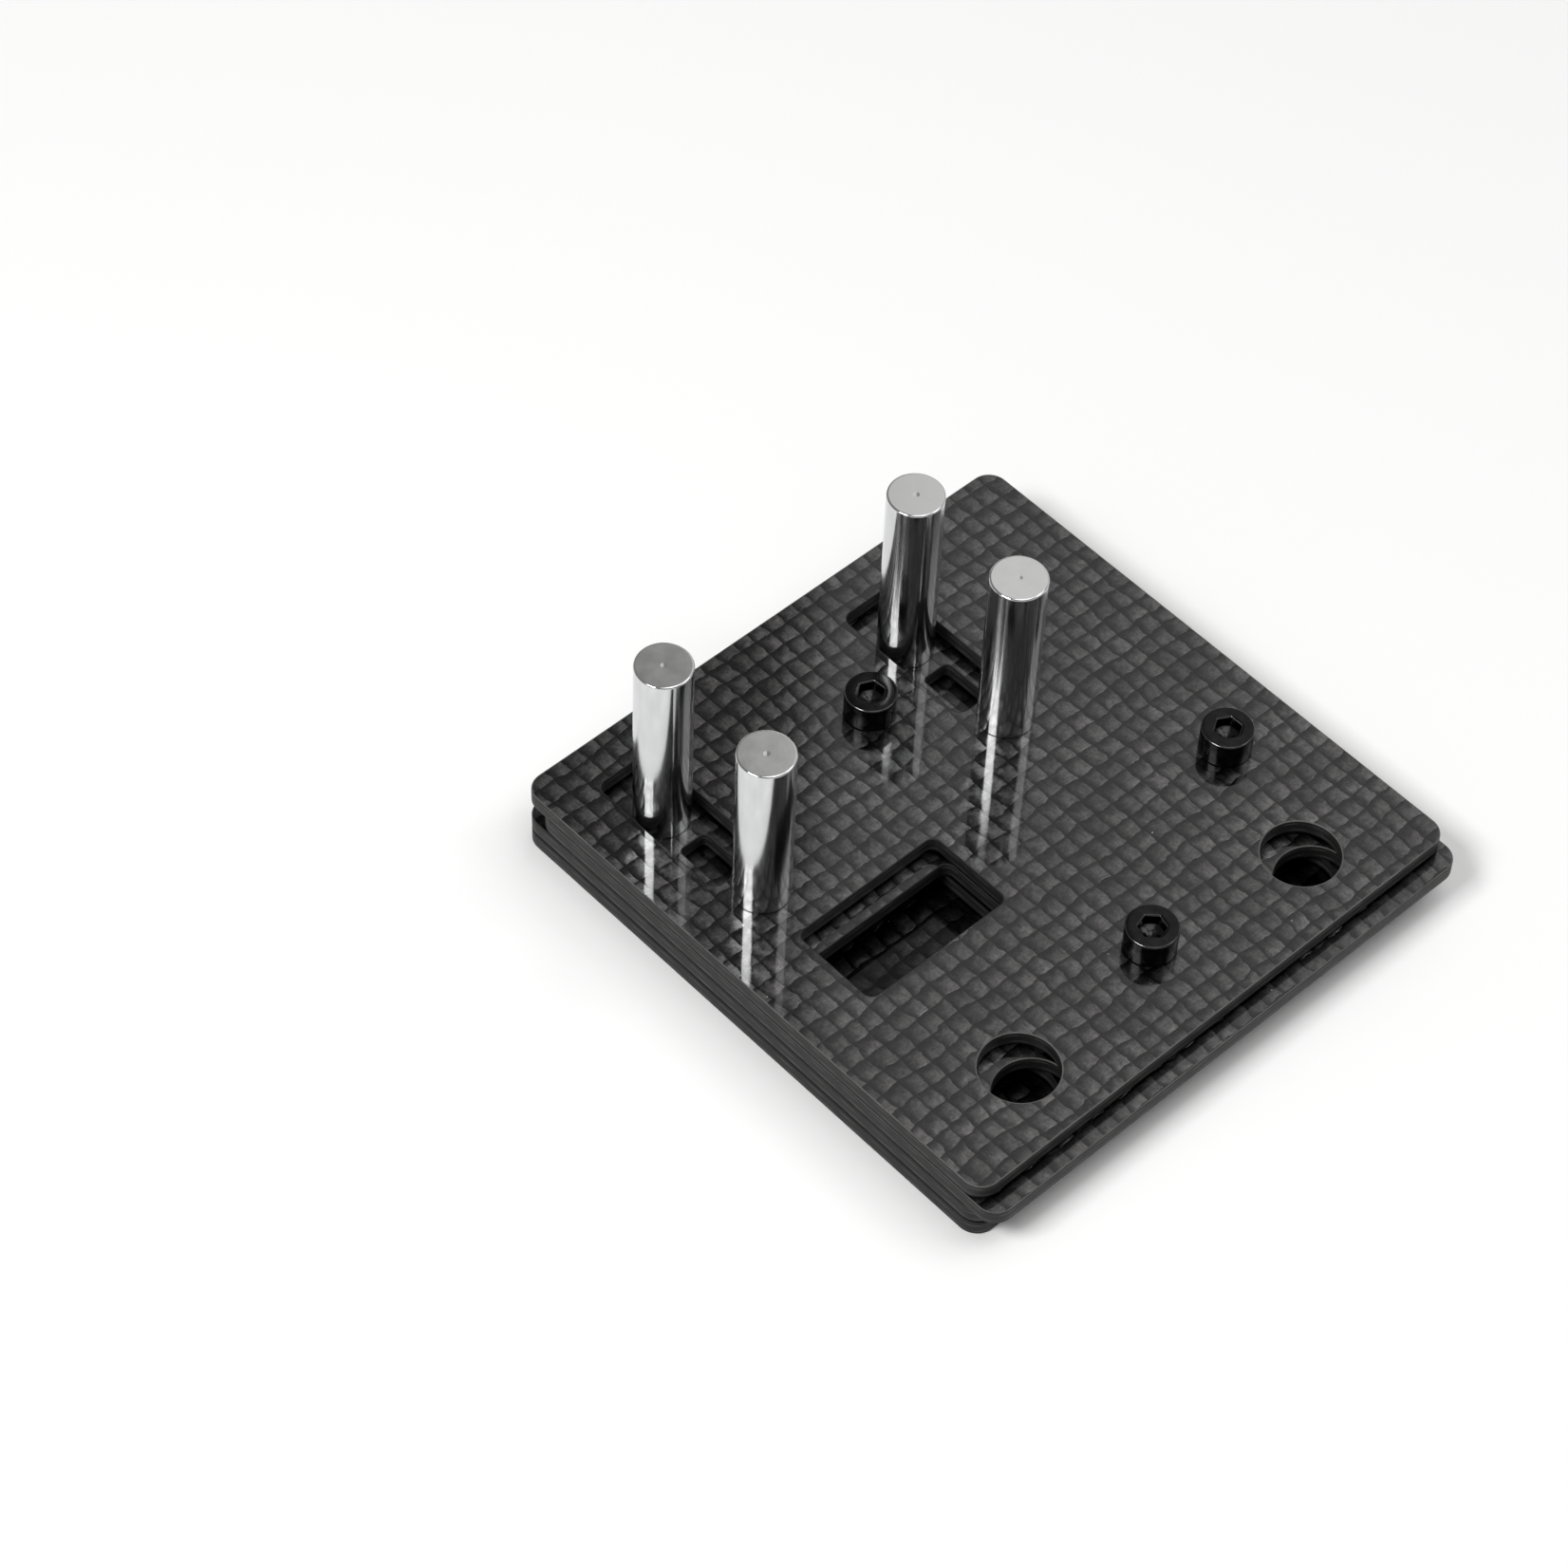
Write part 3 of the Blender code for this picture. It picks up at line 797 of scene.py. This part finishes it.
def add_hex_socket(bm, centre, rim, flats, turn, top, deep, up=1.0):
    """Hexagonal key socket with a broken mouth and a drilled cone, joined to a round rim ring.

    up is -1 for a head that faces down.
    """
    corner = flats * 0.5 / COS_30
    start = math.radians(turn)
    count = len(rim)
    first = min(range(count), key=lambda i: abs(math.remainder(
        math.atan2(rim[i].co.y - centre[1], rim[i].co.x - centre[0]) - start, math.tau)))
    rings = [rim[first:] + rim[:first]]
    for radius, drop in ((corner + SOCKET_MOUTH, 0.0), (corner + SOCKET_MOUTH * 0.5, 0.03 * MM),
                         (corner, 0.12 * MM), (corner, deep)):
        rings.append(add_ring(bm, hexagon(centre, radius, count, start), top - up * drop))
    for radius, drop in ((flats * 0.5, deep), (flats * 0.25, deep + SOCKET_CONE[0])):
        rings.append(add_ring(bm, circle(centre, radius, count, start), top - up * drop))
    bridge(bm, rings)
    tip = bm.verts.new((centre[0], centre[1], top - up * (deep + SOCKET_CONE[1])))
    last = rings[-1]
    for i in range(count):
        bm.faces.new((last[i], last[(i + 1) % count], tip))


def thread_profile(tip, end, up):
    """Rings of a shank from its broken tip along its thread, stopping short of end."""
    crest, root, next_crest = THREAD_STEPS
    profile = [(0.0, tip), (THREAD_R - TIP_BREAK, tip), (THREAD_R, tip + up * TIP_BREAK)]
    z = tip + up * TIP_BREAK
    while up * (end - z) > THREAD_PITCH:
        profile += [(THREAD_R, z + up * crest), (THREAD_R - THREAD_DEEP, z + up * root),
                    (THREAD_R, z + up * next_crest)]
        z += up * THREAD_PITCH
    return profile


def build_clamp_screw(side, mat):
    """Socket cap screw with its head up."""
    node = "clamp_screw_" + side
    centre = centre_of(node)
    tip, crown = z_range(node)
    seat = crown - HEAD_TALL - SEAT_GAP
    profile = thread_profile(tip, seat - 0.5 * MM, 1.0)
    profile += [(THREAD_R, seat - HEAD_NECK), (THREAD_R + HEAD_NECK, seat),
                (HEAD_R - HEAD_NECK, seat), (HEAD_R, seat + HEAD_NECK),
                (HEAD_R, crown - HEAD_ROUND)]
    profile += [(HEAD_R - inset, crown - drop)
                for inset, drop in quarter(HEAD_ROUND, (18.0, 36.0, 54.0, 72.0, 90.0))]
    profile.append((HEAD_LAND_R, crown))
    bm = bmesh.new()
    rings = add_rings(bm, centre, profile, FINE)
    add_hex_socket(bm, centre, rings[-1], HEX_KEY, HEX_TURN[side], crown, HEX_DEEP)
    obj = finish_mesh(node + "_cap", bm, [mat], "screw_" + side, [node])
    add_turn_attribute(obj, centre, crown)
    return obj


def build_sink_screw(node, body, mat):
    """Countersunk screw with its head down."""
    centre = centre_of(node)
    low, tip = z_range(node)
    sink_r = (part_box(node)[1].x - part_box(node)[0].x) * 0.5
    neck = low + SINK_DEEP
    profile = thread_profile(tip, neck + 0.3 * MM, -1.0)
    profile += [(THREAD_R, neck), (sink_r, low + SINK_LAND), (sink_r - 0.04 * MM, low),
                (SINK_LAND_R, low)]
    bm = bmesh.new()
    rings = add_rings(bm, centre, profile, MEDIUM)
    add_hex_socket(bm, centre, rings[-1], SINK_KEY, 0.0, low, SINK_KEY_DEEP, -1.0)
    obj = finish_mesh(node + "_flat", bm, [mat], body, [node])
    add_turn_attribute(obj, centre, low)
    return obj


def nut_corner_ring(bm, centre, z_cone, sign, flat_r):
    """The nut's outline where a cone cuts its corners back from one face."""
    verts = []
    for i in range(NUT_STEPS):
        a = math.tau * i / NUT_STEPS
        r = NUT_FLATS * 0.5 / math.cos((a % SIXTH) - SIXTH * 0.5)
        drop = max(0.0, r - flat_r) * math.tan(math.radians(NUT_CONE))
        verts.append(bm.verts.new((centre[0] + r * math.cos(a), centre[1] + r * math.sin(a),
                                   z_cone - sign * drop)))
    return verts


def build_nut(side, mat):
    """Hexagon nut: its corners are cut back by a cone and its bore is threaded."""
    node = "clamp_nut_" + side
    centre = centre_of(node)
    z0, z1 = z_range(node)
    bore = THREAD_R + BORE_BREAK
    flat_r = NUT_FLATS * 0.5 - 0.05 * MM
    bm = bmesh.new()

    def rings(profile):
        return [add_ring(bm, circle(centre, r, NUT_STEPS), z) for r, z in profile]

    chain = rings(((bore + BORE_BREAK, z1), (flat_r, z1)))
    chain += [nut_corner_ring(bm, centre, z1, 1.0, flat_r),
              nut_corner_ring(bm, centre, z0, -1.0, flat_r)]
    inside = [(flat_r, z0), (bore + BORE_BREAK, z0), (bore, z0 + BORE_BREAK)]
    z = z0 + BORE_BREAK
    while z + THREAD_PITCH < z1 - 0.1 * MM:
        inside += [(bore + NUT_THREAD_DEEP, z + THREAD_PITCH * 0.5),
                   (bore, z + THREAD_PITCH - 0.02 * MM)]
        z += THREAD_PITCH
    chain += rings(inside + [(bore, z1 - BORE_BREAK)])
    bridge(bm, chain + chain[:1])
    obj = finish_mesh(node + "_hex", bm, [mat], "frame", [node])
    add_turn_attribute(obj, centre, z1)
    return obj


# Studio

FLOOR_R = 2.0
FLOOR_TONE = 0.88
WORLD_LEVEL = 0.26

# Softboxes: name, azimuth and elevation seen from the object, distance, width, height, radiance
SOFTBOXES = (
    ("softbox_left", -96.7, 52.0, 0.80, 0.30, 0.20, 22.0),
    ("softbox_right", 52.3, 52.0, 0.80, 0.38, 0.28, 3.2),
    ("softbox_top", 20.0, 80.0, 0.80, 0.40, 0.40, 2.7),
)

# Large diffusing screen behind the object: a curved sheet, brighter towards its top.  Angles
# are in degrees, and the two fades are the widths over which its upright edges soften.
SCREEN_R = 1.5
SCREEN_EDGES = (66.0, 137.0)
SCREEN_RISE = (14.0, 86.0)
SCREEN_FADES = (12.0, 1.8)
SCREEN_LEVEL = 0.54
SCREEN_GLOW = (0.55, 1.25)
SCREEN_GRID = (24, 16)


def floor_material():
    """Matt white with a barely uneven tone."""
    g = Graph("studio_floor")
    tone = g.noise(g.place(), 3.0, 2.0)
    low, high = FLOOR_TONE - 0.01, FLOOR_TONE + 0.01
    g.feed("Base Color", g.grey(g.span(tone, 0.3, 0.7, low, high), (1.0, 1.0, 0.995)))
    g.set(Roughness=0.9)
    return g.mat


def screen_material():
    """Glow that rises with height and fades over the screen's upright edges."""
    g = Graph("studio_screen")
    x, y, z = g.split(g.place())
    angle = g.math("MULTIPLY", g.math("ARCTAN2", y, x), math.degrees(1.0))
    first, last = SCREEN_EDGES
    fade = g.math("MULTIPLY", g.span(angle, first, first + SCREEN_FADES[0], 0.0, 1.0, True),
                  g.span(angle, last - SCREEN_FADES[1], last, 1.0, 0.0, True))
    rise = g.span(g.math("DIVIDE", z, SCREEN_R), 0.2, 1.0, *SCREEN_GLOW)
    strength = g.math("MULTIPLY", g.math("MULTIPLY", fade, rise), SCREEN_LEVEL)
    glow = g.node("ShaderNodeEmission")
    g.link(strength, glow.inputs["Strength"])
    clear = g.node("ShaderNodeBsdfTransparent")
    add = g.node("ShaderNodeAddShader")
    g.tree.links.new(glow.outputs[0], add.inputs[0])
    g.tree.links.new(clear.outputs[0], add.inputs[1])
    g.tree.links.new(add.outputs[0], g.tree.nodes["Material Output"].inputs[0])
    return g.mat


def stage_object(name, bm, mat):
    mesh = bpy.data.meshes.new(name)
    bm.to_mesh(mesh)
    bm.free()
    mesh.materials.append(mat)
    obj = bpy.data.objects.new(name, mesh)
    bpy.context.scene.collection.objects.link(obj)
    return obj


def build_floor():
    bm = bmesh.new()
    bmesh.ops.create_circle(bm, cap_ends=True, segments=96, radius=FLOOR_R)
    floor = stage_object("studio_floor", bm, floor_material())
    floor.location.z = -0.02 * MM
    return floor


def build_screen():
    """Part of a sphere between the screen's edges and heights."""
    bm = bmesh.new()
    across, up = SCREEN_GRID
    (left, right), (bottom, top) = SCREEN_EDGES, SCREEN_RISE
    rows = []
    for j in range(up + 1):
        e = math.radians(bottom + (top - bottom) * j / up)
        row = []
        for i in range(across + 1):
            a = math.radians(left + (right - left) * i / across)
            row.append(bm.verts.new((SCREEN_R * math.cos(a) * math.cos(e),
                                     SCREEN_R * math.sin(a) * math.cos(e),
                                     SCREEN_R * math.sin(e))))
        rows.append(row)
    for low, high in zip(rows, rows[1:]):
        for i in range(across):
            bm.faces.new((low[i], low[i + 1], high[i + 1], high[i]))
    return stage_object("studio_screen", bm, screen_material())


def build_lights():
    for name, azimuth, elevation, distance, wide, tall, radiance in SOFTBOXES:
        light = bpy.data.lights.new(name, "AREA")
        light.shape = "RECTANGLE"
        light.size = wide
        light.size_y = tall
        light.energy = radiance * math.pi * wide * tall
        obj = bpy.data.objects.new(name, light)
        a, e = math.radians(azimuth), math.radians(elevation)
        out = Vector((math.cos(a) * math.cos(e), math.sin(a) * math.cos(e), math.sin(e)))
        obj.location = out * distance
        obj.rotation_mode = "QUATERNION"
        obj.rotation_quaternion = out.to_track_quat("Z", "Y")
        bpy.context.scene.collection.objects.link(obj)
    world = bpy.data.worlds.new("studio")
    world.use_nodes = True
    background = world.node_tree.nodes["Background"]
    background.inputs["Color"].default_value = (1.0, 1.0, 1.0, 1.0)
    background.inputs["Strength"].default_value = WORLD_LEVEL
    bpy.context.scene.world = world
    bpy.context.scene.view_settings.view_transform = "Standard"


def build_camera():
    data = bpy.data.cameras.new("camera")
    data.lens = CAM_LENS
    data.sensor_width = CAM_SENSOR
    data.clip_start = 0.01
    data.clip_end = 50.0
    cam = bpy.data.objects.new("camera", data)
    right, up = Vector(CAM_RIGHT), Vector(CAM_UP)
    back = right.cross(up)
    turn = Matrix((right, up, back)).transposed()
    cam.rotation_mode = "QUATERNION"
    cam.rotation_quaternion = turn.to_quaternion()
    cam.location = CAM_PLACE
    bpy.context.scene.collection.objects.link(cam)
    bpy.context.scene.camera = cam


def main():
    build_plates()
    steel = [steel_side("dowel_side"), steel_end("dowel_end")]
    oxide = black_oxide("black_oxide", 0.022, 0.16)
    dull = black_oxide("black_oxide_dull", 0.05, 0.34)
    zinc = zinc_plate("zinc")
    for row in ("front", "back"):
        build_post("fixed_post_" + row, "frame", steel)
        build_post("riding_post_" + row, "slide", steel)
        build_sink_screw("fixed_post_screw_" + row, "frame", dull)
        build_sink_screw("riding_post_screw_" + row, "slide", dull)
    for side in ("left", "back", "right"):
        build_clamp_screw(side, oxide)
        build_nut(side, zinc)
    build_floor()
    build_screen()
    build_lights()
    build_camera()


main()
